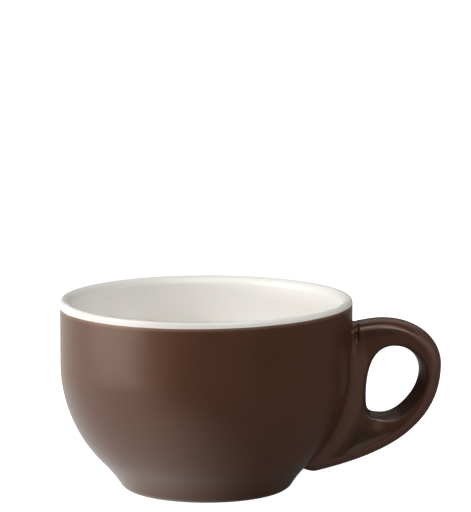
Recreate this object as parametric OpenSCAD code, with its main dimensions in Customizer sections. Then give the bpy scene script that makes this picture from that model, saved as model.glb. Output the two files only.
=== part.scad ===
// Latte cup in millimetres, +Z up. The origin is the middle of the foot, on the surface that
// the cup stands on, and the handle points along +X. The clay bowl and the clay handle are
// joined by a pad of slip, and coats of glaze cover both, white inside and brown outside.

/* [Bowl] */
// Outside diameter at the rim
rim_d = 105; // [90:1:120]
// Height from the table to the top of the rim
cup_h = 69; // [62:1:84]
// Thickness of the wall, glaze included
wall_t = 4.2; // [3.4:0.1:5.6]
// Height at which the wall turns upright, outside and inside
upright_z = 45.7; // [38:0.1:54]
// Height of the floor inside the bowl
floor_z = 8; // [6.5:0.1:12]
// Diameter of the flat part of the floor inside the bowl
floor_d = 20; // [8:1:34]

/* [Foot] */
// Outer diameter of the ring that touches the table
foot_d = 55; // [46:1:62]
// Width of the ring that touches the table
foot_ring_w = 2.6; // [1.6:0.1:5]
// Radius of the rounded outer edge of the foot
foot_edge_r = 4.2; // [2.6:0.1:5.5]
// Angle of the side of the foot above its rounded edge
foot_lean = 59; // [50:1:72]
// Width of the flare from the foot's ring out to the bowl
flare_w = 10.4; // [8:0.1:13]
// Height of the flare from the table up to the bowl
flare_h = 10.3; // [8:0.1:14]
// Slope of the bowl where the flare ends
bowl_slope = 45; // [38:1:52]
// Depth of the recess under the foot
recess_h = 2.5; // [1.4:0.1:3.6]
// Width of the curved side of that recess
recess_side_w = 4; // [2:0.1:7]

/* [Handle] */
// Distance from the wall of the bowl out to the end of the handle
handle_reach = 32; // [26:0.5:40]
// Distance from the rim down to the top of the handle
handle_drop = 7.3; // [5:0.1:14]
// Height of the handle's lowest point above the table
handle_low_z = 6.2; // [5:0.1:11]
// Thickness of the handle, glaze included
handle_t = 13.6; // [10:0.1:17]
// Width of the handle above the finger hole
limb_top_w = 9.8; // [7.5:0.1:13]
// Width of the handle at its outermost place
limb_side_w = 8.1; // [6.5:0.1:11]
// Gap between the wall of the bowl and the finger hole
hole_gap = 4.95; // [3.5:0.05:8]
// Height of the finger hole
hole_h = 24.9; // [18:0.1:28]
// Radial depth of the rounding along the outer edge
outer_round = 4; // [2.5:0.1:5.5]
// Radial depth of the rounding round the finger hole
hole_round = 4.3; // [2.5:0.1:5.5]
// Depth of the shallow dish in each face below the finger hole
dish_h = 1.2; // [0:0.1:2.5]
// Drop of the top edge from its highest place to where it enters the bowl
brow_drop = 1.8; // [0.5:0.1:4]
// Distance of the handle's lowest point from the bowl
tip_w = 4.6; // [3:0.1:8]
// Rise of the lower edge from its lowest point to where it enters the bowl
tip_rise = 1.4; // [0.5:0.1:4]
// Slope of the lower edge at its lowest point
tip_a = 14; // [8:1:22]

/* [Joint and glaze] */
// Thickness of every coat of glaze
glaze_t = 0.4; // [0.2:0.05:0.7]
// How far the white glaze comes down the outside below the rounded rim
white_edge = 0.3; // [0.1:0.1:3]
// Thickness of the pad of slip between the bowl and the handle
slip_t = 1; // [0.8:0.1:2]
// How far the edge of the slip stays inside the edge of the clay handle
slip_inset = 0.8; // [0.3:0.1:2]

/* [Hidden] */
$fn = 96;

brown = [0.28, 0.18, 0.15];
white = [0.93, 0.92, 0.89];
clay = [0.80, 0.75, 0.67];
slip_clay = [0.72, 0.66, 0.58];

// Steps along the curves of the bowl, and round the handle and its sections
foot_steps = 5;
flare_steps = 8;
bowl_steps = 24;
rim_steps = 8;
ring_steps = 10;
round_steps = 4;
face_steps = 4;

// Share of each tangent that a curve's control points take: an eighth of a turn, a quarter turn
eighth_share = 0.64;
quarter_share = 0.552;
// Bearing on the foot's edge where the outside glaze was wiped off
wipe_a = -62;
// Share of the recess's curved side that is glazed
recess_share = 0.75;

rim_r = rim_d / 2;
lip_r = wall_t / 2;
inner_r = rim_r - wall_t;
glaze_line_z = cup_h - lip_r - white_edge;
foot_r = foot_d / 2;
ring_in_r = foot_r - foot_ring_w;

// Curves are lists of places, each a point with the direction that leads out of the cup.
function turn(a) = [cos(a), sin(a)];
function mix(a, b, t) = a + (b - a) * t;
function arc(c, r, from, to, steps) =
    [for (i = [0:steps]) let (u = turn(mix(from, to, i / steps))) [c + r * u, u]];
function bezier(p, t) =
    let (s = 1 - t) s*s*s*p[0] + 3*s*s*t*p[1] + 3*s*t*t*p[2] + t*t*t*p[3];
function heading(p, t) =
    let (s = 1 - t) s*s*(p[1] - p[0]) + 2*s*t*(p[2] - p[1]) + t*t*(p[3] - p[2]);
function curve(p, steps, from = 0, to = 1) =
    [for (i = [0:steps]) let (t = mix(from, to, i / steps), d = heading(p, t))
        [bezier(p, t), [d[1], -d[0]] / norm(d)]];
function place(x, z, out) = [[x, z], out];
function shift(places, d) = [for (q = places) q[0] + d * q[1]];
function reversed(list) = [for (i = [len(list) - 1:-1:0]) list[i]];
function coat(places) = concat(shift(places, 0), reversed(shift(places, -glaze_t)));

// Outside of the bowl, from the foot up to the line where the white glaze starts
foot_centre = [foot_r, foot_edge_r];
foot_end = foot_centre + foot_edge_r * turn(foot_lean - 90);
neck = [foot_r + flare_w, flare_h];
flare_pull = norm(neck - foot_end) / 3;
flare = [foot_end, foot_end + flare_pull * turn(foot_lean),
         neck - flare_pull * turn(bowl_slope), neck];
wall_start = [rim_r, upright_z];
wall_corner = [rim_r, flare_h + (rim_r - neck[0]) * tan(bowl_slope)];
bowl = [neck, mix(neck, wall_corner, eighth_share),
        mix(wall_start, wall_corner, eighth_share), wall_start];
outer_path = concat(
    arc(foot_centre, foot_edge_r, wipe_a, foot_lean - 90, foot_steps),
    curve(flare, flare_steps, 1 / flare_steps),
    curve(bowl, bowl_steps, 1 / bowl_steps),
    [place(rim_r, glaze_line_z, [1, 0])]);

// Rim and inside of the bowl, from the glaze line over the rim and down to the middle
lip_centre = [rim_r - lip_r, cup_h - lip_r];
floor_corner = [inner_r, floor_z];
floor_edge = [floor_d / 2, floor_z];
inner_start = [inner_r, upright_z];
inner_bowl = [inner_start, mix(inner_start, floor_corner, quarter_share),
              mix(floor_edge, floor_corner, quarter_share), floor_edge];
liner_path = concat(
    [place(rim_r, glaze_line_z, [1, 0])],
    arc(lip_centre, lip_r, 0, 180, 2 * rim_steps),
    curve(inner_bowl, bowl_steps),
    [place(0, floor_z, [0, 1])]);

// Underside, from the middle of the recess out to the wiped edge of its glaze
recess_r = ring_in_r - recess_side_w;
recess_side = [[recess_r, recess_h], [recess_r + recess_side_w / 2, recess_h],
               [ring_in_r - recess_side_w / 8, recess_h / 2], [ring_in_r, 0]];
base_path = concat(
    [place(0, recess_h, [0, -1])],
    curve(recess_side, flare_steps, 0, recess_share));

// Bare clay of the foot, between the two wiped edges
bare_path = concat(
    curve(recess_side, round_steps, recess_share),
    arc(foot_centre, foot_edge_r, -90, wipe_a, foot_steps));

clay_outline = concat(shift(base_path, -glaze_t), shift(bare_path, 0),
                      shift(outer_path, -glaze_t), shift(liner_path, -glaze_t));

// Outside radius of the bowl at a height, and the solid within a shifted outside
bowl_side = concat(outer_path, [place(rim_r, cup_h, [1, 0])]);
radius_table = [for (q = bowl_side) [q[0][1], q[0][0]]];
function bowl_radius(z) = lookup(z, radius_table);
module within_bowl(d) {
    side = shift(bowl_side, d);
    rotate_extrude()
        polygon(concat([[0, side[0][1]]], side, [[0, cup_h]]));
}

// Finger hole, an egg with its narrow end down beside the bowl, drawn in a unit square
hole_left = rim_r + hole_gap;
hole_w = handle_reach - hole_gap - limb_side_w;
handle_top_z = cup_h - handle_drop;
hole_low_z = handle_top_z - limb_top_w - hole_h;
function in_hole(x, z) = [hole_left + x * hole_w, hole_low_z + z * hole_h];
hole_curves = [
    [in_hole(0.53, 1), in_hole(0.87, 1), in_hole(1, 0.79), in_hole(1, 0.65)],
    [in_hole(1, 0.65), in_hole(1, 0.31), in_hole(0.52, 0), in_hole(0.27, 0)],
    [in_hole(0.27, 0), in_hole(0.05, 0), in_hole(0, 0.03), in_hole(0, 0.26)],
    [in_hole(0, 0.26), in_hole(0, 0.7), in_hole(0.16, 1), in_hole(0.53, 1)]];

// Outer edge of the handle: over the top, down to the lowest point, into the wall and up in it.
// Its pulls are the shares of the way between two places that shape the curve at each of them.
bury = wall_t / 2;
crest_share = 1 / 3;
bulge_share = 0.72;
crest_pull = 0.67;
bulge_up_pull = 0.48;
bulge_down_pull = 0.63;
tip_pull = 0.49;
rise_pull = 0.3;
crest = [rim_r + handle_reach * crest_share, handle_top_z];
bulge = [rim_r + handle_reach, hole_low_z + hole_h * bulge_share];
toe_z = handle_low_z + tip_rise;
toe = [bowl_radius(toe_z) - bury, toe_z];
tip = [bowl_radius(toe_z) + tip_w, handle_low_z];
brow_z = handle_top_z - brow_drop;
brow = [bowl_radius(brow_z) - bury, brow_z];
outer_curves = [
    [crest, crest + [crest_pull * (bulge[0] - crest[0]), 0],
     bulge + [0, bulge_up_pull * (crest[1] - bulge[1])], bulge],
    [bulge, bulge - [0, bulge_down_pull * (bulge[1] - tip[1])],
     tip + tip_pull * (bulge[0] - tip[0]) * turn(tip_a), tip],
    [tip, tip - tip_w / 3 * turn(tip_a), mix(toe, tip, 0.5) - [0, tip_rise / 2], toe]];
rise_curve = [brow, mix(brow, crest, rise_pull),
              crest - [rise_pull * (crest[0] - brow[0]), 0], crest];
function along(curves, s) =
    let (i = min(floor(s), len(curves) - 1)) bezier(curves[i], s - i);
// Places on the outer edge are counted crest 0, bulge 1, tip 2, toe 3, brow 4, crest 5
function on_edge(s) =
    s <= 3 ? along(outer_curves, s)
    : s <= 4 ? let (z = mix(toe_z, brow_z, s - 3)) [bowl_radius(z) - bury, z]
    : bezier(rise_curve, s - 4);

// Sections of the handle run from the finger hole to the outer edge. Each key pairs a place on
// the hole, counted 0 to 4 from its top, with the place on the outer edge that faces it.
keys = [[0, 0], [1, 1], [1.45, 1.45], [2, 1.74], [2.42, 2], [2.6, 3], [3.72, 4], [4, 5]];
section_count = (len(keys) - 1) * ring_steps;
function key_at(i, part) =
    let (k = floor(i / ring_steps), t = i / ring_steps - k)
    mix(keys[k][part], keys[k + 1][part], t);
// The rounding at the outer edge all but goes where that edge runs up inside the wall
wall_round = 0.1;
wall_margin = 0.05;
function edge_round(s) = abs(s - 3.5) < 0.5 - wall_margin ? wall_round : outer_round;
// Flat width between the two roundings at which the dish has its full depth
dish_w = 12;

// Half of a section as [distance from the hole, half thickness], from the hole outwards
function half_section(w, half_t, far_round) =
    let (fit = min(1, w / (hole_round + far_round)),
         near = hole_round * fit,
         far = far_round * fit,
         flat = w - near - far,
         dish = dish_h * min(1, flat / dish_w))
    concat(
        [for (i = [0:round_steps]) let (a = 90 * i / round_steps)
            [near * (1 - cos(a)), half_t * sin(a)]],
        [for (i = [1:face_steps - 1]) let (t = i / face_steps)
            [near + flat * t, half_t - dish * pow(sin(180 * t), 2)]],
        [for (i = [round_steps:-1:0]) let (a = 90 * i / round_steps)
            [w - far * (1 - cos(a)), half_t * sin(a)]]);

// One closed section, inset by a coat's thickness all round
function section(i, inset) =
    let (s = key_at(i, 1),
         from = along(hole_curves, key_at(i, 0)),
         to = on_edge(s),
         w = norm(to - from),
         u = (to - from) / w,
         half = half_section(w - 2 * inset, handle_t / 2 - inset, edge_round(s)),
         last = len(half) - 1)
    concat(
        [for (q = half) let (p = from + u * (q[0] + inset)) [p[0], -q[1], p[1]]],
        [for (j = [last - 1:-1:1])
            let (p = from + u * (half[j][0] + inset)) [p[0], half[j][1], p[1]]]);

// The whole handle as a ring of sections round the finger hole, running into the wall
module handle_form(inset) {
    sections = [for (i = [0:section_count - 1]) section(i, inset)];
    size = len(sections[0]);
    polyhedron(
        points = [for (s = sections) for (p = s) p],
        faces = [for (i = [0:section_count - 1]) for (j = [0:size - 1])
            let (k = (i + 1) % section_count, m = (j + 1) % size)
            for (face = [[i * size + j, i * size + m, k * size + m],
                         [i * size + j, k * size + m, k * size + j]]) face],
        convexity = 6);
}

// Prism along X with the outline of the slip, rounded at its corners
module slip_outline() {
    half_w = handle_t / 2 - glaze_t - slip_inset;
    low = toe_z + glaze_t + slip_inset;
    high = brow_z - glaze_t - slip_inset;
    corner = half_w / 2;
    rotate([90, 0, 90])
        linear_extrude(height = rim_r + slip_t)
            union() {
                translate([corner - half_w, low])
                    square([2 * (half_w - corner), high - low]);
                translate([-half_w, low + corner])
                    square([2 * half_w, high - low - 2 * corner]);
                for (y = [corner - half_w, half_w - corner])
                    for (z = [low + corner, high - corner])
                        translate([y, z]) circle(r = corner);
            }
}

// Fired clay bowl with its bare foot ring
module cup_body() {
    color(clay)
        rotate_extrude() polygon(clay_outline);
}

// Cast clay handle, cut to sit on the slip
module handle() {
    color(clay)
        difference() {
            handle_form(glaze_t);
            within_bowl(slip_t - glaze_t);
        }
}

// Pad of slip that sticks the handle to the bare clay of the bowl
module handle_slip() {
    color(slip_clay)
        intersection() {
            slip_outline();
            difference() {
                within_bowl(slip_t - glaze_t);
                within_bowl(-glaze_t);
            }
        }
}

// White glaze inside the bowl and over the rim
module liner_glaze() {
    color(white)
        rotate_extrude() polygon(coat(liner_path));
}

// Brown glaze outside the bowl, left open where the slip holds the handle
module outer_glaze() {
    color(brown)
        difference() {
            rotate_extrude() polygon(coat(outer_path));
            slip_outline();
        }
}

// Brown glaze round the handle
module handle_glaze() {
    color(brown)
        difference() {
            handle_form(0);
            handle_form(glaze_t);
            within_bowl(0);
        }
}

// Brown glaze in the recess under the foot
module base_glaze() {
    color(brown)
        rotate_extrude() polygon(coat(base_path));
}

cup_body();
handle();
handle_slip();
liner_glaze();
outer_glaze();
handle_glaze();
base_glaze();
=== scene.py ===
# %% [markdown]
# # A two-tone latte cup
# This lesson dresses the CAD frame of a stoneware latte cup: brown satin glaze outside, white
# glossy glaze inside and over the rim, a loop handle stuck to the side, and a bare foot ring.
# The frame holds the sizes and never moves. Each new piece is made where the frame says that it
# is, so nothing has to be fitted afterwards. All drawing below is in millimetres, and one factor
# turns it into Blender's metres.

# %% Load the frame
import bmesh
import bpy
import math
import numpy as np
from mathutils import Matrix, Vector


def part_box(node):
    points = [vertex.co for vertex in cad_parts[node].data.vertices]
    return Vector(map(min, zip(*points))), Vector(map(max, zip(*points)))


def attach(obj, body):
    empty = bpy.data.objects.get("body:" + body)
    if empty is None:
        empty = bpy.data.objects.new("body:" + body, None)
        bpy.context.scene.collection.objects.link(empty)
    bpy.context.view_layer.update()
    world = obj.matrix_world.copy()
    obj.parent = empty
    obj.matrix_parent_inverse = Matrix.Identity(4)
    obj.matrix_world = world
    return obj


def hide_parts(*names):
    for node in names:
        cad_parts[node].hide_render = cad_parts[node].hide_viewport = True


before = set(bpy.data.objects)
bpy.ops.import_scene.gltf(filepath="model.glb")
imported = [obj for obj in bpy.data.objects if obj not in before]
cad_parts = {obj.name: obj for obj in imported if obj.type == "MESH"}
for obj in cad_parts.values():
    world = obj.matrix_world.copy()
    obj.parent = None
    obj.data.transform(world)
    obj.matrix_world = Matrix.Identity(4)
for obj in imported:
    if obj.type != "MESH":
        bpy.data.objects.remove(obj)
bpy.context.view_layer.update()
MM = 0.001
print("CAD nodes:", ", ".join(sorted(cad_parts)))

# %% [markdown]
# ## Sizes
# A potter checks a cup with callipers: rim, height, foot, handle. The frame already knows most of
# these, so they are read from the boxes of its nodes. Only what a box can't tell, such as the
# radius of the foot's edge, is written here as a number.

# %% Sizes of the bowl and the handle


def calliper(node, end, axis):
    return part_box(node)[end][axis] / MM


LOW, HIGH = 0, 1
X, Y, Z = 0, 1, 2
rim_r = calliper("liner_glaze", HIGH, X)
cup_h = calliper("liner_glaze", HIGH, Z)
glaze_line_z = calliper("outer_glaze", HIGH, Z)
handle_end_x = calliper("handle_glaze", HIGH, X)
handle_top_z = calliper("handle_glaze", HIGH, Z)
handle_low_z = calliper("handle_glaze", LOW, Z)
handle_half_t = calliper("handle_glaze", HIGH, Y)
glaze_t = 0.4
recess_h = calliper("base_glaze", HIGH, Z) - glaze_t
floor_z = calliper("liner_glaze", LOW, Z) + glaze_t
wall_t = 4.2
outer_lip_r = 1.1
inner_lip_r = wall_t - outer_lip_r
upright_z = 45.7
floor_r = 10
print(f"rim {2 * rim_r:.1f} mm across, {cup_h:.1f} mm tall, handle out to {handle_end_x:.1f} mm")

# %% [markdown]
# ## Curves
# The side of a cup is a chain of arcs and soft curves. Its rim is rounded tightly outside and more
# gently inside, so the crest lies close to the outer edge. Each curve is sampled as places: a point
# (distance from the axis, height) together with the direction that leads out of the clay. With
# that direction a coat of glaze is easy: the same places, moved in by the coat's thickness.

# %% Curve helpers


def turn(degrees):
    return Vector((math.cos(math.radians(degrees)), math.sin(math.radians(degrees))))


def arc(centre, radius, start, stop, steps):
    ways = [turn(start + (stop - start) * i / steps) for i in range(steps + 1)]
    return [(centre + radius * way, way) for way in ways]


def bezier(p, t):
    s = 1 - t
    return s * s * s * p[0] + 3 * s * s * t * p[1] + 3 * s * t * t * p[2] + t * t * t * p[3]


def heading(p, t):
    s = 1 - t
    return s * s * (p[1] - p[0]) + 2 * s * t * (p[2] - p[1]) + t * t * (p[3] - p[2])


def curve(p, steps, start=0.0, stop=1.0):
    places = []
    for i in range(steps + 1):
        t = start + (stop - start) * i / steps
        way = heading(p, t).normalized()
        places.append((bezier(p, t), Vector((way.y, -way.x))))
    return places


def place(r, z, out):
    return (Vector((r, z)), Vector(out))


def moved(places, depth):
    return [point - depth * out for point, out in places]


def coat(places, thickness):
    return moved(places, 0) + moved(places, thickness)[::-1]


# %% Profile of the cup, from the foot up the outside, over the rim and down the inside
foot_r = 27.5
foot_edge_r = 4.2
foot_lean = 59
foot_ring_w = 2.6
wipe_a = -62
flare_w = 10.4
flare_h = 10.3
bowl_slope = 45
ARC_EIGHTH = 0.64
ARC_QUARTER = 0.552
FOOT_STEPS = 8
FLARE_STEPS = 12
BELLY_STEPS = 40
WALL_STEPS = 12
OUTER_LIP_STEPS = 14
INNER_LIP_STEPS = 20
HOLLOW_STEPS = 48
RECESS_STEPS = 12
BARE_STEPS = 6

neck = Vector((foot_r + flare_w, flare_h))
foot_centre = Vector((foot_r, foot_edge_r))
foot_end = foot_centre + foot_edge_r * turn(foot_lean - 90)
flare_pull = (neck - foot_end).length / 3
flare = [foot_end, foot_end + flare_pull * turn(foot_lean), neck - flare_pull * turn(bowl_slope), neck]
wall_start = Vector((rim_r, upright_z))
wall_corner = Vector((rim_r, neck.y + (rim_r - neck.x) * math.tan(math.radians(bowl_slope))))
belly = [neck, neck.lerp(wall_corner, ARC_EIGHTH), wall_start.lerp(wall_corner, ARC_EIGHTH), wall_start]
foot_path = arc(foot_centre, foot_edge_r, wipe_a, foot_lean - 90, FOOT_STEPS)
side_path = foot_path + curve(flare, FLARE_STEPS)[1:] + curve(belly, BELLY_STEPS)[1:]

inner_r = rim_r - wall_t
inner_start = Vector((inner_r, upright_z))
floor_corner = Vector((inner_r, floor_z))
floor_edge = Vector((floor_r, floor_z))
hollow = [inner_start, inner_start.lerp(floor_corner, ARC_QUARTER),
          floor_edge.lerp(floor_corner, ARC_QUARTER), floor_edge]
crest_r = rim_r - outer_lip_r
lip_outside = arc(Vector((crest_r, cup_h - outer_lip_r)), outer_lip_r, 0, 90, OUTER_LIP_STEPS)
lip_inside = arc(Vector((crest_r, cup_h - inner_lip_r)), inner_lip_r, 90, 180, INNER_LIP_STEPS)
lip_round = lip_outside + lip_inside[1:]
floor_path = [place(floor_r / 2, floor_z, (0, 1)), place(0, floor_z, (0, 1))]
hollow_path = curve(hollow, HOLLOW_STEPS) + floor_path

ring_in_r = foot_r - foot_ring_w
recess_side_w = 4
recess_r = ring_in_r - recess_side_w
recess_side = [Vector((recess_r, recess_h)), Vector((recess_r + recess_side_w / 2, recess_h)),
               Vector((ring_in_r - recess_side_w / 8, recess_h / 2)), Vector((ring_in_r, 0))]
recess_share = 0.75
base_path = ([place(0, recess_h, (0, -1)), place(recess_r / 2, recess_h, (0, -1))]
             + curve(recess_side, RECESS_STEPS, 0, recess_share))
print(len(side_path), "places up the side,", len(lip_round + hollow_path), "over the rim and down the inside")

# %% [markdown]
# ## Tracing a shape by hand
# Both the round pieces and the handle start as a line drawn point by point. In Blender that is one
# vertex, extruded again and again. A plane is added, merged to its centre to get that vertex, and
# each extrusion moves it to the next point. Everything is deselected first, because loading the
# frame leaves its nodes selected and an operator acts on all that is selected.

# %% Tracing helpers


def new_piece(name):
    bpy.ops.object.select_all(action="DESELECT")
    bpy.ops.mesh.primitive_plane_add(size=MM)
    piece = bpy.context.object
    piece.name = name
    piece.data.name = name
    bpy.ops.object.mode_set(mode="EDIT")
    bpy.ops.mesh.select_all(action="SELECT")
    bpy.ops.mesh.delete(type="VERT")
    return piece


def trace(points):
    bpy.ops.mesh.select_all(action="DESELECT")
    bpy.ops.mesh.primitive_plane_add(size=MM, location=points[0] * MM)
    bpy.ops.mesh.merge(type="CENTER")
    for here, there in zip(points, points[1:]):
        bpy.ops.mesh.extrude_region_move(TRANSFORM_OT_translate={"value": (there - here) * MM})


def select_vertices(piece, wanted):
    mesh = bmesh.from_edit_mesh(piece.data)
    bpy.ops.mesh.select_mode(type="VERT")
    for vertex in mesh.verts:
        vertex.select = wanted(vertex)
    mesh.select_flush_mode()
    bmesh.update_edit_mesh(piece.data)


def finish_mesh(smooth_degrees=40):
    bpy.ops.object.mode_set(mode="OBJECT")
    bpy.ops.object.shade_smooth_by_angle(angle=math.radians(smooth_degrees))


def apply_modifier(piece, kind, **settings):
    modifier = piece.modifiers.new(kind.title(), kind)
    for key, value in settings.items():
        setattr(modifier, key, value)
    bpy.ops.object.modifier_apply(modifier=modifier.name)


# %% [markdown]
# ## Turned pieces
# A bowl is turned on a wheel, and spin does the same: it sweeps the traced profile once round the
# axis. A coat's profile goes up one face and back down the other, so the spun coat is a thin
# closed shell. The doubled points at the seam and on the axis are merged, and then the normals
# are made to point out.

# %% Spin helper
SPIN_STEPS = 192
WELD = 0.003 * MM


def turned(name, profile, closed):
    piece = new_piece(name)
    trace([Vector((point.x, 0, point.y)) for point in profile])
    if closed:
        ends = (profile[0], profile[-1])
        near = [Vector((end.x, 0, end.y)) * MM for end in ends]
        select_vertices(piece, lambda v: min((v.co - end).length for end in near) < WELD)
        bpy.ops.mesh.edge_face_add()
    bpy.ops.mesh.select_all(action="SELECT")
    bpy.ops.mesh.spin(steps=SPIN_STEPS, angle=2 * math.pi, center=(0, 0, 0), axis=(0, 0, 1))
    bpy.ops.mesh.select_all(action="SELECT")
    bpy.ops.mesh.remove_doubles(threshold=WELD)
    bpy.ops.mesh.delete_loose(use_verts=True, use_edges=True)
    bpy.ops.mesh.select_all(action="SELECT")
    bpy.ops.mesh.normals_make_consistent(inside=False)
    finish_mesh()
    print(f"{name}: {len(piece.data.polygons)} faces")
    return piece


# %% [markdown]
# ## Clay bowl
# Under the glaze sits the fired clay. Only its foot ring shows, where the glaze was wiped off so
# that the cup wouldn't stick to the kiln shelf. The clay's profile lies one coat deeper than the
# finished cup, apart from that bare ring, which comes out to the full size.

# %% Turn the clay bowl
bare_path = (curve(recess_side, BARE_STEPS, recess_share)
             + arc(foot_centre, foot_edge_r, -90, wipe_a, FOOT_STEPS))
clay_profile = (moved(base_path, glaze_t) + moved(bare_path, 0) + moved(side_path, glaze_t)
                + moved(lip_round + hollow_path, glaze_t))
clay_bowl = turned("clay_bowl", clay_profile, closed=False)

# %% [markdown]
# ## White glaze
# The white glaze lines the bowl, rolls over the rim and ends a little way down the outside, where
# the brown coat laps over it. So its outer skirt lies a hair deeper than the brown: the two coats
# then overlap as real ones do, and no gap can open at the line.

# %% Turn the white lining
lap_depth = 0.06
lap_h = 3.5
skirt_path = [place(rim_r - lap_depth, glaze_line_z - lap_h, (1, 0)),
              place(rim_r - lap_depth, glaze_line_z - lap_h / 2, (1, 0))]
lip_path = [(point - lap_depth * max(0.0, out.x) * out, out) for point, out in lip_round]
white_coat = turned("white_coat", coat(skirt_path + lip_path + hollow_path, glaze_t)[::-1], closed=True)

# %% [markdown]
# ## Brown glaze on the bowl
# The brown coat runs from the wiped foot up to the white line. On this cup the line isn't level: the
# bowl was dipped at a slight tilt, so the brown reaches a millimetre and a half higher beside the
# handle than on the far side. So the skin is first turned too tall, almost to the crest of the rim,
# and then bisected by a tilted plane that clears what is above it. The cut edge, which bisect leaves
# selected, gets a slight waver, and Solidify gives the skin its thickness.

# %% Turn the brown coat and cut it at the glaze line
line_lift = 0.22
line_z = glaze_line_z + line_lift
line_tilt = 0.014
waver_h = 0.16
waver_size = 9
wall_h = cup_h - outer_lip_r - upright_z
wall_rise = [place(rim_r, upright_z + wall_h * i / WALL_STEPS, (1, 0)) for i in range(1, WALL_STEPS)]
brown_skin = side_path + wall_rise + lip_outside[:-1]
brown_coat = turned("brown_coat", moved(brown_skin, 0), closed=False)
bpy.ops.object.mode_set(mode="EDIT")
bpy.ops.mesh.select_all(action="SELECT")
bpy.ops.mesh.normals_make_consistent(inside=False)
bpy.ops.mesh.bisect(plane_co=(0, 0, line_z * MM), plane_no=(-line_tilt, 0, 1), clear_outer=True)
bpy.ops.object.vertex_group_add()
bpy.ops.object.vertex_group_assign()
bpy.ops.object.mode_set(mode="OBJECT")
waver = bpy.data.textures.new("glaze_line_waver", "CLOUDS")
waver.noise_scale = waver_size * MM
apply_modifier(brown_coat, "DISPLACE", texture=waver, texture_coords="LOCAL", direction="Z",
               strength=waver_h * MM, vertex_group=brown_coat.vertex_groups[0].name)
apply_modifier(brown_coat, "SOLIDIFY", thickness=glaze_t * MM, offset=-1)
finish_mesh()
print(f"brown_coat: {len(brown_coat.data.polygons)} faces, line tilted {2 * rim_r * line_tilt:.1f} mm")

# %% [markdown]
# ## Brown glaze under the foot
# The recess inside the foot ring was dipped too. Its coat is a shallow dish that ends where the ring
# was wiped.

# %% Turn the coat under the foot
base_coat = turned("base_coat", coat(base_path, glaze_t), closed=False)

# %% [markdown]
# ## Handle
# The handle was cast in a two-part mould. Seen from the side it is a loop with a wide gusset that
# runs down to the foot of the bowl; its edges are well rounded, and each face has a shallow dish
# between the finger hole and the lower edge. A bevelled extrusion would give flat sides and one
# radius. Here the loop is lofted instead: a line from the finger hole to the outer edge, half a
# section of the handle, is led all round the loop, and a mirror makes the other half. Hole and outer
# edge are drawn first. The hole is an egg with its narrow end down beside the bowl, drawn in a unit
# square. The pulls are the shares of the way between two places that shape the outer edge at them.

# %% Outlines of the finger hole and the outer edge
hole_gap = 4.95
limb_side_w = 8.1
limb_top_w = 9.8
hole_h = 24.9
hole_left = rim_r + hole_gap
hole_right = handle_end_x - limb_side_w
hole_top = handle_top_z - limb_top_w
hole_low = hole_top - hole_h


def in_hole(x, z):
    return Vector((hole_left + x * (hole_right - hole_left), hole_low + z * hole_h))


hole_curves = [
    [in_hole(0.53, 1), in_hole(0.87, 1), in_hole(1, 0.79), in_hole(1, 0.65)],
    [in_hole(1, 0.65), in_hole(1, 0.31), in_hole(0.52, 0), in_hole(0.27, 0)],
    [in_hole(0.27, 0), in_hole(0.05, 0), in_hole(0, 0.03), in_hole(0, 0.26)],
    [in_hole(0, 0.26), in_hole(0, 0.7), in_hole(0.16, 1), in_hole(0.53, 1)]]

outside = [(point.y, point.x) for point, out in side_path] + [(cup_h, rim_r)]


def bowl_radius(z):
    for (low, near), (high, far) in zip(outside, outside[1:]):
        if z <= high:
            break
    share = (z - low) / (high - low)
    return near + (far - near) * share


bury = wall_t / 2
reach = handle_end_x - rim_r
tip_w = 4.6
tip_rise = 1.4
tip_slope = 14
brow_drop = 1.8
bulge_share = 0.72
crest_pull = 0.67
bulge_up_pull = 0.48
bulge_down_pull = 0.63
tip_pull = 0.49
rise_pull = 0.3
toe_z = handle_low_z + tip_rise
brow_z = handle_top_z - brow_drop
crest = Vector((rim_r + reach / 3, handle_top_z))
bulge = Vector((handle_end_x, hole_low + bulge_share * hole_h))
toe = Vector((bowl_radius(toe_z) - bury, toe_z))
tip = Vector((bowl_radius(toe_z) + tip_w, handle_low_z))
brow = Vector((bowl_radius(brow_z) - bury, brow_z))
over_top = [crest, crest + Vector((crest_pull * (bulge.x - crest.x), 0)),
            bulge + Vector((0, bulge_up_pull * (crest.y - bulge.y))), bulge]
lower_edge = [bulge, bulge - Vector((0, bulge_down_pull * (bulge.y - tip.y))),
              tip + tip_pull * (bulge.x - tip.x) * turn(tip_slope), tip]
into_wall = [tip, tip - tip_w / 3 * turn(tip_slope), toe.lerp(tip, 0.5) - Vector((0, tip_rise / 2)), toe]
out_of_wall = [brow, brow.lerp(crest, rise_pull), crest - Vector((rise_pull * (crest.x - brow.x), 0)), crest]
print(f"finger hole {hole_right - hole_left:.1f} by {hole_h:.1f} mm")

# %% [markdown]
# The thickness at a point of the handle depends on how far that point is from the hole's edge and
# from the outer edge. Near the outer edge the half thickness follows a quarter of an ellipse, squarish
# over the top and rounder at the far end, which rounds the edge. Round the hole a straight bevel comes
# first, wide at the lower right and narrow at the top and beside the bowl, and only the edge of the hole
# itself is rounded. A band along the outer edge has the full thickness. Inside it the face is recessed,
# most of all below the hole. Close to the bowl a ridge keeps the full thickness, and the face swells in
# a fillet, the soft corner that slip and glaze leave there. The fillet is an arc that touches the bowl's
# circle and the handle's side, and it is wide beside the finger hole and tight at the top and at the
# tip. A short groove parts the end of the band from the bowl. A pair of numbers is a span over which
# something fades in or out, in millimetres, or as the cosine of an angle where its name says turn.

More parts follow.
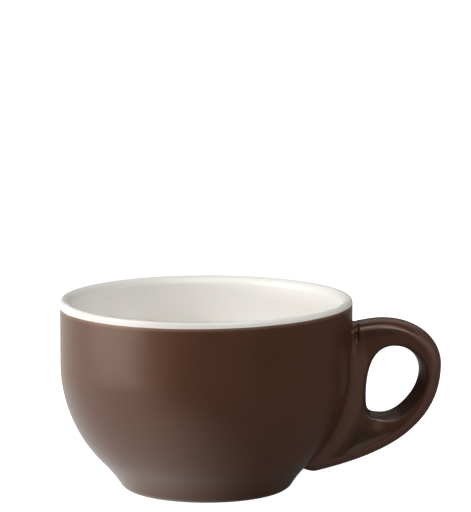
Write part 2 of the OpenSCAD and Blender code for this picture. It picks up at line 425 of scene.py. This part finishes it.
# %% Thickness of the handle
outer_round = 3.4
hole_round = 0.9
hole_power = 2.3
edge_power = 2.3
soft_edge_power = 1.9
far_end = (69, 76)
bevel_slope = 1.75
bevel_soft = 0.5
bevel_least = 0.8
bevel_gain = 2.7
bevel_way = Vector((0.3, -0.95))
bevel_turn = (-0.9, 0.3)
bowl_side_turn = (-0.25, 0.45)
bowl_side_loss = 0.9
band_w = 3.3
step_w = 2.6
shelf_h = 0.2
dish_h = 0.8
dish_span = (2, 9)
ridge_low_w = 8
ridge_loss = 5.5
ridge_span = (42, 50)
ridge_step = 3.5
groove_h = 1.1
groove_gap = 1.8
groove_w = 1.0
groove_span = (52.5, 56.5)
fillet_tight = 1.0
fillet_gain = 3.6
fillet_low = (12, 30)
fillet_high = (48, 56)
fillet_limit = 0.995
hole_middle = in_hole(0.5, 0.5)
OUTLINE_STEPS = 160
brow_run = Vector((6, 0.8))
toe_run = Vector((-5, 3))


def outline(curves, before=(), after=()):
    points = [bezier(p, i / OUTLINE_STEPS) for p in curves for i in range(OUTLINE_STEPS)]
    line = np.array([*before, *points, *after])
    along = line[1:] - line[:-1]
    return line[:-1], along, (along ** 2).sum(1)


hole_line = outline(hole_curves, after=[hole_curves[0][0]])
edge_line = outline([out_of_wall, over_top, lower_edge, into_wall],
                    before=[brow - brow_run], after=[toe, toe + toe_run])


def distance(point, line):
    starts, along, length_squared = line
    away = np.array(point) - starts
    share = np.clip((away * along).sum(1) / length_squared, 0, 1)
    return np.sqrt(((away - share[:, None] * along) ** 2).sum(1).min())


def rounded(share, power):
    share = min(1.0, max(0.0, share))
    return (1 - (1 - share) ** power) ** (1 / power)


def ramp(value, start, stop):
    share = min(1.0, max(0.0, (value - start) / (stop - start)))
    return share * share * (3 - 2 * share)


def fillet_radius(z):
    return fillet_tight + fillet_gain * ramp(z, *fillet_low) * (1 - ramp(z, *fillet_high))


def fillet_centre(z):
    radius = fillet_radius(z)
    return math.sqrt((bowl_radius(z) + radius) ** 2 - (handle_half_t + radius) ** 2)


def fillet_share(point):
    return (fillet_centre(point.y) - point.x) / fillet_radius(point.y)


def bevel_width(point):
    way = (point - hole_middle).normalized()
    wide = bevel_gain * ramp(way.dot(bevel_way), *bevel_turn)
    return bevel_least + wide * (1 - bowl_side_loss * ramp(-way.x, *bowl_side_turn))


def distances(point):
    gap = point.x - math.sqrt(bowl_radius(point.y) ** 2 - handle_half_t ** 2)
    return distance(point, hole_line), distance(point, edge_line), gap


def half_thickness(point):
    to_hole, to_edge, gap = distances(point)
    ridge_w = ridge_low_w - ridge_loss * ramp(point.y, *ridge_span)
    recess = (shelf_h + dish_h * ramp(to_hole, *dish_span)) * ramp(to_edge, band_w, band_w + step_w)
    recess *= ramp(gap, ridge_w, ridge_w + ridge_step)
    in_groove = max(0.0, 1 - ((gap - groove_gap) / groove_w) ** 2)
    groove = groove_h * in_groove ** 2 * ramp(point.y, *groove_span)
    steep = min(fillet_limit, max(0.0, fillet_share(point)))
    fillet = fillet_radius(point.y) * (1 - math.sqrt(1 - steep ** 2))
    inward = bevel_width(point) - to_hole
    bevel = bevel_slope * (inward + math.sqrt(inward ** 2 + bevel_soft ** 2)) / 2
    full = handle_half_t - recess - groove - bevel + fillet
    power = edge_power + (soft_edge_power - edge_power) * ramp(point.x, *far_end)
    return full * rounded(to_hole / hole_round, hole_power) * rounded(to_edge / outer_round, power)


dish_t = 2 * half_thickness(in_hole(0.5, -0.35))
print(f"handle {2 * handle_half_t:.1f} mm thick, {dish_t:.1f} mm in the dish")

# %% [markdown]
# ## Painted shade and light on the handle
# The darker and lighter places of the handle's brown are painted shade and painted light. It is painted
# darkest round the lower right of the finger hole, where the bowl shades it, in the hollow below it and
# in the crease under the top band. It is painted lightest along the outer band, though not over the
# top, on the ridge beside the bowl and on one small spot under the hole. This function gives that value
# for a point of the handle: 1 where the painted shade is darkest, 0 where the brown is plain and below
# 0 where light is painted on. The loft writes it on the mesh, and the brown material reads it there.

# %% Painted shade and light at a point of the handle
# The spot, rim, hollow, crease, band and tip numbers set where the handle's brown gets painted shade and
# painted light.
spot = Vector((61.6, 23.5))
spot_edge = (1.0, 2.6)
spot_glow = (0.8, 3)
spot_painted_light = 1.5
rim_inside = 0.3
rim_outside = 1.0
rim_least = 0.6
rim_gain = 0.4
rim_turn = (0, 0.7)
hollow_painted_shade = 0.8
hollow_from_hole = (4.6, 8.2)
hollow_from_band = 0.9
hollow_from_bowl = (6.5, 9)
hollow_top = (25, 31)
crease_painted_shade = 0.4
crease_start = (2.8, 3.4)
crease_end = (4.5, 7)
crease_from_bowl = (6, 18)
crease_low = (52, 55)
band_painted_light = -0.65
band_edge = (3.2, 4.6)
bowl_edge = (4.5, 7)
upper_low = (46, 54)
upper_far = (71, 77)
tip_painted_light = 1.5
tip_loss = 0.5
tip_top = (10, 16)


def painted_shade_and_light(point):
    to_hole, to_edge, gap = distances(point)
    to_spot = (point - spot).length
    rim_w = bevel_width(point)
    # rim, hollow and crease are painted shade; ridge, band, tip and spot are painted light.
    rim = (1 - ramp(to_hole, rim_w - rim_inside, rim_w + rim_outside)) * ramp(to_spot, *spot_edge)
    rim *= rim_least + rim_gain * ramp((point - hole_middle).normalized().dot(bevel_way), *rim_turn)
    hollow = ramp(to_hole, *hollow_from_hole) * ramp(to_edge, band_w, band_w + hollow_from_band)
    hollow = hollow * ramp(gap, *hollow_from_bowl) * (1 - ramp(point.y, *hollow_top))
    crease = ramp(to_edge, *crease_start) * (1 - ramp(to_edge, *crease_end))
    crease = crease * (1 - ramp(gap, *crease_from_bowl)) * ramp(point.y, *crease_low)
    upper = ramp(point.y, *upper_low) * (1 - ramp(point.x, *upper_far))
    ridge = max(1 - ramp(to_edge, *band_edge), 1 - ramp(gap, *bowl_edge)) * (1 - upper)
    ridge *= tip_painted_light - tip_loss * ramp(point.y, *tip_top)
    ridge = max(ridge, spot_painted_light - spot_painted_light * ramp(to_spot, *spot_glow))
    shade_share = max(rim, hollow_painted_shade * hollow, crease_painted_shade * crease)
    return shade_share + band_painted_light * ridge * (1 - shade_share)


# The printed glaze depth is this painted shade and light.
print(f"glaze depth {painted_shade_and_light(spot):.2f} on the spot, {painted_shade_and_light(in_hole(0.7, -0.03)):.2f} at the hole")

# %% Half sections of the handle
# Each key pairs a place on the hole with the place on the outer edge that faces it. From 3 to 4 the
# outer edge runs up inside the wall, so there the half sections stay open.
HANDLE_SMOOTH = 60
MIRROR_WELD = 0.02 * MM
keys = [(0, 0), (1, 1), (1.45, 1.45), (2, 1.74), (2.42, 2), (2.6, 3), (3.72, 4), (4, 5)]
key_steps = [22, 12, 12, 12, 14, 52, 30]
SECTION_STEPS = 60


def on_hole(s):
    return bezier(hole_curves[int(s) % 4], s - int(s))


def on_edge(s):
    if s <= 1:
        return bezier(over_top, s)
    if s <= 2:
        return bezier(lower_edge, s - 1)
    if s <= 3:
        return bezier(into_wall, s - 2)
    if s < 4:
        z = toe_z + (brow_z - toe_z) * (s - 3)
        return Vector((bowl_radius(z) - bury, z))
    return bezier(out_of_wall, s - 4)


def half_section(hole_s, edge_s):
    near = on_hole(hole_s)
    far = on_edge(edge_s)
    section = []
    for i in range(SECTION_STEPS + 1):
        share = (1 - math.cos(math.pi * i / SECTION_STEPS)) / 2
        point = near.lerp(far, share)
        section.append(Vector((point.x, -half_thickness(point), point.y)))
    section[0].y = 0
    if not 3 <= edge_s < 4:
        section[-1].y = 0
    return section


sections = []
for (start, stop), steps in zip(zip(keys, keys[1:]), key_steps):
    for i in range(steps):
        share = i / steps
        sections.append(half_section(start[0] + (stop[0] - start[0]) * share,
                                     start[1] + (stop[1] - start[1]) * share))
sections.append(sections[0])
print(len(sections), "half sections of", len(sections[0]), "points")

# %% [markdown]
# The first section is traced point by point. Then the whole line is extruded once for every further
# section, and its points are put on that section, so each step adds a strip of faces. A number kept
# with each vertex says which point of the section it is, and extruding copies that number along.
# The last section is the first again, so merging doubles closes the loop, and a mirror adds the
# far half.

# %% Loft and mirror the handle
handle_coat = new_piece("handle_coat")
trace(sections[0])
mesh = bmesh.from_edit_mesh(handle_coat.data)
rank = mesh.verts.layers.int.new("rank")
for vertex in mesh.verts:
    vertex[rank] = min(range(len(sections[0])), key=lambda i: (sections[0][i] * MM - vertex.co).length)
bpy.ops.mesh.select_all(action="SELECT")
for section in sections[1:]:
    bpy.ops.mesh.extrude_region_move()
    mesh = bmesh.from_edit_mesh(handle_coat.data)
    rank = mesh.verts.layers.int["rank"]
    for vertex in mesh.verts:
        if vertex.select:
            vertex.co = section[vertex[rank]] * MM
bpy.ops.mesh.select_all(action="SELECT")
bpy.ops.mesh.remove_doubles(threshold=WELD)
bpy.ops.object.mode_set(mode="OBJECT")
# Each vertex keeps the painted shade and light of its place, for the brown material.
depth = handle_coat.data.attributes.new("painted_shade_and_light", "FLOAT", "POINT")
for vertex in handle_coat.data.vertices:
    depth.data[vertex.index].value = painted_shade_and_light(Vector((vertex.co.x, vertex.co.z)) / MM)
apply_modifier(handle_coat, "MIRROR", use_axis=(False, True, False), merge_threshold=MIRROR_WELD)
bpy.ops.object.mode_set(mode="EDIT")
bpy.ops.mesh.select_all(action="DESELECT")
bpy.ops.mesh.select_non_manifold()
bpy.ops.mesh.edge_face_add()
bpy.ops.mesh.select_all(action="SELECT")
bpy.ops.mesh.normals_make_consistent(inside=False)
bpy.ops.object.mode_set(mode="OBJECT")
print("handle:", len(handle_coat.data.polygons), "faces, closed inside the wall of the bowl")

# %% [markdown]
# The clay under the handle's coat is a copy of that solid, shrunk along its normals by the coat's
# thickness. The original loses the face that closes it inside the wall of the bowl, and then its
# open skin gets the coat's thickness inwards with Solidify.

# %% Clay core and thickness of the coat
bpy.ops.object.duplicate()
clay_handle = bpy.context.object
clay_handle.name = "clay_handle"
clay_handle.data.name = "clay_handle"
bpy.ops.object.mode_set(mode="EDIT")
bpy.ops.mesh.select_all(action="SELECT")
bpy.ops.transform.shrink_fatten(value=-glaze_t * MM)
finish_mesh(HANDLE_SMOOTH)

bpy.ops.object.select_all(action="DESELECT")
handle_coat.select_set(True)
bpy.context.view_layer.objects.active = handle_coat
bpy.ops.object.mode_set(mode="EDIT")
bpy.ops.mesh.select_all(action="DESELECT")
bpy.ops.mesh.select_face_by_sides(number=4, type="GREATER")
bpy.ops.mesh.delete(type="FACE")
bpy.ops.object.mode_set(mode="OBJECT")
apply_modifier(handle_coat, "SOLIDIFY", thickness=glaze_t * MM, offset=-1)
finish_mesh(HANDLE_SMOOTH)
print("handle_coat:", len(handle_coat.data.polygons), "faces")

# %% [markdown]
# ## Finishes
# The two glazes and the clay share three effects, so each is a node group, built once: soft patches
# of tone, where the glaze is a little thicker or thinner; a skin, the faint ripple that a fired
# glaze keeps; and specks, the dark grains of iron in stoneware. Each material gives the groups its
# own scale and feeds what they put out to colour, roughness and bump.

# %% Node helpers


def feed(tree, socket, value):
    if isinstance(value, bpy.types.NodeSocket):
        tree.links.new(value, socket)
    else:
        socket.default_value = value


def add_node(tree, kind, **values):
    node = tree.nodes.new("ShaderNode" + kind)
    for name, value in values.items():
        feed(tree, node.inputs[name.replace("_", " ")], value)
    return node


def new_group(name, output):
    tree = bpy.data.node_groups.new(name, "ShaderNodeTree")
    for label, kind in (("Vector", "Vector"), ("Scale", "Float")):
        tree.interface.new_socket(label, in_out="INPUT", socket_type="NodeSocket" + kind)
    tree.interface.new_socket(output, in_out="OUTPUT", socket_type="NodeSocketFloat")
    given = tree.nodes.new("NodeGroupInput").outputs
    return tree, given, tree.nodes.new("NodeGroupOutput").inputs[output]


def place_group(tree, group, where, scale):
    node = tree.nodes.new("ShaderNodeGroup")
    node.node_tree = group
    feed(tree, node.inputs["Vector"], where)
    feed(tree, node.inputs["Scale"], scale)
    return node.outputs[0]


def spread(tree, value, low, high, to_low, to_high):
    node = add_node(tree, "MapRange", Value=value, From_Min=low, From_Max=high, To_Min=to_low, To_Max=to_high)
    node.interpolation_type = "SMOOTHSTEP"
    return node.outputs["Result"]


def blend_colour(tree, share, first, second):
    node = tree.nodes.new("ShaderNodeMix")
    node.data_type = "RGBA"
    tree.links.new(share, node.inputs["Factor"])
    sockets = [socket for socket in node.inputs if socket.type == "RGBA"]
    for socket, colour in zip(sockets, (first, second)):
        linked = isinstance(colour, bpy.types.NodeSocket)
        feed(tree, socket, colour if linked else (*colour, 1))
    return [socket for socket in node.outputs if socket.type == "RGBA"][0]


def blend_value(tree, share, first, second):
    node = add_node(tree, "Mix", Factor=share, A=first, B=second)
    return node.outputs["Result"]


def vector_math(tree, operation, *values):
    node = tree.nodes.new("ShaderNodeVectorMath")
    node.operation = operation
    for socket, value in zip(node.inputs, values):
        feed(tree, socket, value)
    return node.outputs


def dot_product(tree, vector, way):
    return vector_math(tree, "DOT_PRODUCT", vector, way)["Value"]


def combined(tree, operation, first, second):
    node = tree.nodes.new("ShaderNodeMath")
    node.operation = operation
    feed(tree, node.inputs[0], first)
    feed(tree, node.inputs[1], second)
    return node.outputs[0]


def scaled(tree, value, factor):
    return combined(tree, "MULTIPLY", value, factor)


# %% Shared effects: soft patches, glaze skin, specks
patch_span = (0.3, 0.7)
speck_span = (0.1, 0.22)

patches, given, tone_out = new_group("soft_patches", "Tone")
noise = add_node(patches, "TexNoise", Vector=given["Vector"], Scale=given["Scale"], Detail=3, Roughness=0.55)
patches.links.new(spread(patches, noise.outputs["Fac"], *patch_span, 0, 1), tone_out)

skin, given, height_out = new_group("glaze_skin", "Height")
ripple = add_node(skin, "TexNoise", Vector=given["Vector"], Scale=given["Scale"], Detail=2, Roughness=0.4)
skin.links.new(ripple.outputs["Fac"], height_out)

specks, given, mask_out = new_group("specks", "Mask")
cells = add_node(specks, "TexVoronoi", Vector=given["Vector"], Scale=given["Scale"])
specks.links.new(spread(specks, cells.outputs["Distance"], *speck_span, 1, 0), mask_out)
print("groups:", ", ".join(group.name for group in bpy.data.node_groups))

# %% Material helpers


def new_material(name):
    material = bpy.data.materials.new(name)
    material.use_nodes = True
    tree = material.node_tree
    where = tree.nodes.new("ShaderNodeTexCoord").outputs["Object"]
    return material, tree, tree.nodes["Principled BSDF"], where


def add_skin(tree, shader, where, scale, strength, depth):
    height = place_group(tree, skin, where, scale)
    bump = add_node(tree, "Bump", Height=height, Strength=strength, Distance=depth)
    tree.links.new(bump.outputs["Normal"], shader.inputs["Normal"])


# %% [markdown]
# ## Brown satin glaze
# The brown is a satin glaze. Such browns mostly come from iron. It is dark and warm where light falls
# on it straight, and it goes pale and grey towards the sides, where it mirrors the bright table at a
# flat angle. A roughness of about a third gives those soft reflections. At the white line the coat
# runs out thin, so a narrow band there is lighter. The band is found from the height above the line's
# tilted plane, which is a dot product of the position with the plane's direction. On the handle the
# colour carries painted shade in the hollows and painted light on the ridges, and the glaze is duller
# where either is strong. On the other pieces that value reads as 0.

# %% Brown glaze material
BROWN = (0.068, 0.0218, 0.0092)
BROWN_PALE = (0.075, 0.0246, 0.0109)
# The next two colours are painted shade for the handle's hollows and painted light for its ridges.
BROWN_PAINTED_SHADE = (0.025, 0.0062, 0.0018)
BROWN_PAINTED_LIGHT = (0.112, 0.0475, 0.0310)
BROWN_THIN = (0.200, 0.1100, 0.0750)
SHEEN_TINT = (1.0, 0.84, 0.73, 1)
BROWN_ROUGH = (0.29, 0.33)
BROWN_IOR = 1.72
DULL_ROUGH = 0.55
DULL_GAIN = 2
thin_w = 1.5

brown_glaze, tree, shader, where = new_material("brown_glaze")
tone = place_group(tree, patches, where, scale=55)
above = dot_product(tree, where, (-line_tilt, 0, 1))
thin = spread(tree, above, (line_z - thin_w) * MM, line_z * MM, 0, 1)
# The handle's painted shade and light come from its mesh: above 0 painted shade, below 0 painted light.
attribute = tree.nodes.new("ShaderNodeAttribute")
attribute.attribute_name = "painted_shade_and_light"
depth = attribute.outputs["Fac"]
shade_share = add_node(tree, "Clamp", Value=depth).outputs["Result"]
light_share = add_node(tree, "Clamp", Value=scaled(tree, depth, -1)).outputs["Result"]
brown = blend_colour(tree, tone, BROWN, BROWN_PALE)
brown = blend_colour(tree, shade_share, brown, BROWN_PAINTED_SHADE)
brown = blend_colour(tree, light_share, brown, BROWN_PAINTED_LIGHT)
brown = blend_colour(tree, thin, brown, BROWN_THIN)
tree.links.new(brown, shader.inputs["Base Color"])
squared = scaled(tree, depth, depth)
dull = add_node(tree, "Clamp", Value=scaled(tree, squared, DULL_GAIN)).outputs["Result"]
rough = spread(tree, tone, 0, 1, *BROWN_ROUGH)
rough = blend_value(tree, dull, rough, DULL_ROUGH)
tree.links.new(rough, shader.inputs["Roughness"])
shader.inputs["IOR"].default_value = BROWN_IOR
shader.inputs["Specular Tint"].default_value = SHEEN_TINT
add_skin(tree, shader, where, scale=420, strength=0.25, depth=0.0001)
print("brown_glaze: thin band", thin_w, "mm wide")

# %% [markdown]
# ## White glossy glaze
# The lining is a warm white, smooth and with a soft gloss. Inside the bowl light goes from wall to
# wall, and each bounce warms it a little more, so the colour itself is only slightly cream. Under these
# lamps the front left of the lip burnt out to plain white, so its crest, and less its outer edge, gets
# painted shade there, a warmer and darker colour. That is a makeshift, because the tone stays on
# the cup under any other light: a weaker key and an even white would be the sounder way. Four masks
# find the place: two from the distance to the axis, one from the height and one from the side.

# %% White glaze material
WHITE = (0.909, 0.885, 0.841)
WHITE_PALE = (0.919, 0.897, 0.857)
# This colour is painted shade for the front left of the lip.
WHITE_PAINTED_SHADE = (0.580, 0.540, 0.502)
WHITE_ROUGH = (0.30, 0.35)
FRONT_LEFT = (-0.45, -0.89, 0)
EDGE_SHARE = 0.6
crest_start = crest_r - 0.8
crest_full = crest_r - 0.2
edge_start = crest_r + 0.4
edge_end = rim_r - 0.2
front_start = 36
front_full = 51

white_glaze, tree, shader, where = new_material("white_glaze")
tone = place_group(tree, patches, where, scale=40)
level = vector_math(tree, "MULTIPLY", where, (1, 1, 0))["Vector"]
radius = vector_math(tree, "LENGTH", level)["Value"]
crest_mask = spread(tree, radius, crest_start * MM, crest_full * MM, 0, 1)
edge_mask = spread(tree, radius, edge_start * MM, edge_end * MM, 1, EDGE_SHARE)
height = dot_product(tree, where, (0, 0, 1))
high_mask = spread(tree, height, (cup_h - 2 * wall_t) * MM, (cup_h - wall_t) * MM, 0, 1)
front_mask = spread(tree, dot_product(tree, where, FRONT_LEFT), front_start * MM, front_full * MM, 0, 1)
lip_mask = scaled(tree, scaled(tree, crest_mask, edge_mask), high_mask)
# This share places the painted shade on the crest of the lip at the front left.
thin = scaled(tree, lip_mask, front_mask)
white = blend_colour(tree, tone, WHITE, WHITE_PALE)
white = blend_colour(tree, thin, white, WHITE_PAINTED_SHADE)
tree.links.new(white, shader.inputs["Base Color"])
tree.links.new(spread(tree, tone, 0, 1, *WHITE_ROUGH), shader.inputs["Roughness"])
add_skin(tree, shader, where, scale=160, strength=0.15, depth=0.0001)
print("white_glaze:", WHITE)

# %% [markdown]
# ## Clay and slip
# Bare stoneware shows only on the foot ring. It is dry, sandy and speckled with iron. The slip that
# sticks the handle on is the same clay, a shade darker. One function makes both.

# %% Clay materials
IRON = (0.16, 0.10, 0.06)
CLAY_ROUGH = (0.78, 0.9)


def clay(name, pale, dark):
    material, tree, shader, where = new_material(name)
    tone = place_group(tree, patches, where, scale=90)
    grain = place_group(tree, specks, where, scale=900)
    body = blend_colour(tree, tone, pale, dark)
    tree.links.new(blend_colour(tree, grain, body, IRON), shader.inputs["Base Color"])
    tree.links.new(spread(tree, tone, 0, 1, *CLAY_ROUGH), shader.inputs["Roughness"])
    add_skin(tree, shader, where, scale=1500, strength=0.5, depth=0.0002)
    return material


bare_clay = clay("bare_clay", (0.62, 0.54, 0.44), (0.54, 0.46, 0.36))
slip = clay("slip", (0.50, 0.42, 0.33), (0.44, 0.36, 0.28))
print("clay:", bare_clay.name, "and", slip.name)

# %% [markdown]
# ## Dressing the frame
# Each piece gets its material and rides on the cup's one body, and the CAD node that it stands for is
# hidden. The slip is a thin CAD node between bowl and handle. Nothing new is needed there, so the node
# itself stays and gets the slip material.

# %% Dress the pieces


def dress(piece, material, node):
    piece.data.materials.clear()
    piece.data.materials.append(material)
    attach(piece, "root")
    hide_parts(node)


dress(clay_bowl, bare_clay, "cup_body")
dress(clay_handle, bare_clay, "handle")
dress(white_coat, white_glaze, "liner_glaze")
dress(brown_coat, brown_glaze, "outer_glaze")
dress(base_coat, brown_glaze, "base_glaze")
dress(handle_coat, brown_glaze, "handle_glaze")
slip_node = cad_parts["handle_slip"]
slip_node.data.materials.clear()
slip_node.data.materials.append(slip)
print("dressed: 6 pieces and the slip")

# %% [markdown]
# ## Floor
# The cup stands on a white table. The camera sees the table as white, with only a trace of shadow, and
# that comes from Is Camera Ray rather than from more light. The glaze mirrors another table than the
# camera sees: white only towards the lit left side and the back, and dark at the front. The line
# between the two runs slantwise under the cup, and close to the cup the white reaches further round.
# It is what gives the brown its pale left flank with a fairly sharp end, next to a dark front. Further
# off, the mirrored table turns a little warmer.

# %% Floor
FLOOR_SIZE = 12
SEEN_WHITE = 0.97
MIRRORED_WHITE = 1.08
MIRRORED_DARK = 0.08
PLAIN_LIGHT = (1, 1, 1)
WARM_LIGHT = (1.0, 0.92, 0.83)
TABLE_GREY = (0.7, 0.7, 0.7)
TABLE_DARK = (0.05, 0.05, 0.05)
LIT_WAY = (-1, 0.5, 0)
lit_span = (-0.45, 0.95)
close_span = (0.03, 0.20)
close_gain = 0.66
warm_span = (0.08, 0.25)

bpy.ops.object.select_all(action="DESELECT")
bpy.ops.mesh.primitive_plane_add(size=FLOOR_SIZE)
floor = bpy.context.object
floor.name = "floor"
floor_white, tree, shader, where = new_material("floor_white")
rays = tree.nodes.new("ShaderNodeLightPath").outputs
table_colour = blend_colour(tree, rays["Is Glossy Ray"], TABLE_GREY, TABLE_DARK)
tree.links.new(table_colour, shader.inputs["Base Color"])
shader.inputs["Roughness"].default_value = 0.8
shader.inputs["Specular IOR Level"].default_value = 0
direction = vector_math(tree, "NORMALIZE", where)["Vector"]
away = vector_math(tree, "LENGTH", where)["Value"]
leftward = dot_product(tree, direction, LIT_WAY)
close_by = spread(tree, away, *close_span, close_gain, 0)
towards_light = combined(tree, "ADD", leftward, close_by)
lit_side = spread(tree, towards_light, *lit_span, MIRRORED_DARK, MIRRORED_WHITE)
mirrored = scaled(tree, rays["Is Glossy Ray"], lit_side)
seen = scaled(tree, rays["Is Camera Ray"], SEEN_WHITE)
far_off = scaled(tree, rays["Is Glossy Ray"], spread(tree, away, *warm_span, 0, 1))
table_light = blend_colour(tree, far_off, PLAIN_LIGHT, WARM_LIGHT)
glow = add_node(tree, "Emission", Color=table_light, Strength=combined(tree, "ADD", mirrored, seen))
table = add_node(tree, "AddShader")
tree.links.new(glow.outputs[0], table.inputs[0])
tree.links.new(shader.outputs[0], table.inputs[1])
tree.links.new(table.outputs[0], tree.nodes["Material Output"].inputs["Surface"])
floor.data.materials.append(floor_white)
print("floor:", FLOOR_SIZE, "m square")

# %% [markdown]
# ## Background
# Behind the table is nothing but white, again for the camera alone. A trace of light from all round
# keeps the deepest shadows open.

# %% World
SKY_STRENGTH = 0.01

world = bpy.data.worlds.new("studio")
bpy.context.scene.world = world
world.use_nodes = True
tree = world.node_tree
sky = tree.nodes["Background"]
sky.inputs["Color"].default_value = (1, 1, 1, 1)
sky.inputs["Strength"].default_value = SKY_STRENGTH
white_sky = add_node(tree, "Background", Strength=1.0)
path = tree.nodes.new("ShaderNodeLightPath")
pick = add_node(tree, "MixShader", Fac=path.outputs["Is Camera Ray"])
tree.links.new(sky.outputs[0], pick.inputs[1])
tree.links.new(white_sky.outputs[0], pick.inputs[2])
tree.links.new(pick.outputs[0], tree.nodes["World Output"].inputs["Surface"])
print("world: white for the camera")

# %% [markdown]
# ## Light
# Most of the light comes from the left: a wide low box close to the table gives the bowl its highlight,
# and the key above it lights the inside. The front box draws the line of light along the shoulder of the
# handle. Boxes on the right, above and behind fill in. A box is placed by its azimuth, counted from the
# camera over the right side, and its elevation, both in degrees. Its width and height are in metres,
# and its power is in watts.

# %% Soft boxes
box_aim = Vector((0, 0, 0.04))
box_distance = 1.5


def soft_box(name, azimuth, elevation, width, height, power):
    level = turn(elevation)
    around = turn(azimuth)
    way = Vector((level.x * around.y, -level.x * around.x, level.y))
    bpy.ops.object.light_add(type="AREA", location=box_aim + box_distance * way)
    light = bpy.context.object
    light.name = name
    light.data.shape = "RECTANGLE"
    light.data.size = width
    light.data.size_y = height
    light.data.energy = power
    light.rotation_euler = (-way).to_track_quat("-Z", "Y").to_euler()
    print(f"{name}: {power} W, {width} by {height} m")


soft_box("left_box", 284, 3, 1.3, 0.2, 10.5)
soft_box("key_box", 291, 30, 0.7, 0.55, 13.2)
soft_box("front_box", 19, 36, 0.65, 0.62, 5.6)
soft_box("right_box", 80, 22, 0.9, 0.6, 3.0)
soft_box("upper_box", 352, 66, 0.9, 0.7, 5.6)
soft_box("back_box", 170, 38, 1.4, 1.0, 2.3)

# %% [markdown]
# ## Camera
# The camera looks down at the cup by about 11 degrees. Its place and lens were found from the ellipse
# of the rim, the height of the bowl and the reach of the handle in the picture. The cup sits low in the
# frame, so the camera is turned up and a little to the side after it has been aimed at the cup.

# %% Camera
camera_from = Vector((0, -1.3746, 0.2983))
camera_aim = Vector((0, 0, 0.033))
shift_right = 0.007541
shift_up = 0.036156
lens = 273
forward = (camera_aim - camera_from).normalized()
right = forward.cross(Vector((0, 0, 1))).normalized()
up = right.cross(forward)
centre_ray = forward + shift_right * right + shift_up * up
bpy.ops.object.camera_add(location=camera_from, rotation=centre_ray.to_track_quat("-Z", "Y").to_euler())
camera = bpy.context.object
camera.data.lens = lens
bpy.context.scene.camera = camera
bpy.context.scene.view_settings.view_transform = "Standard"
print(f"camera: {lens} mm lens, {camera_from.length:.2f} m away")
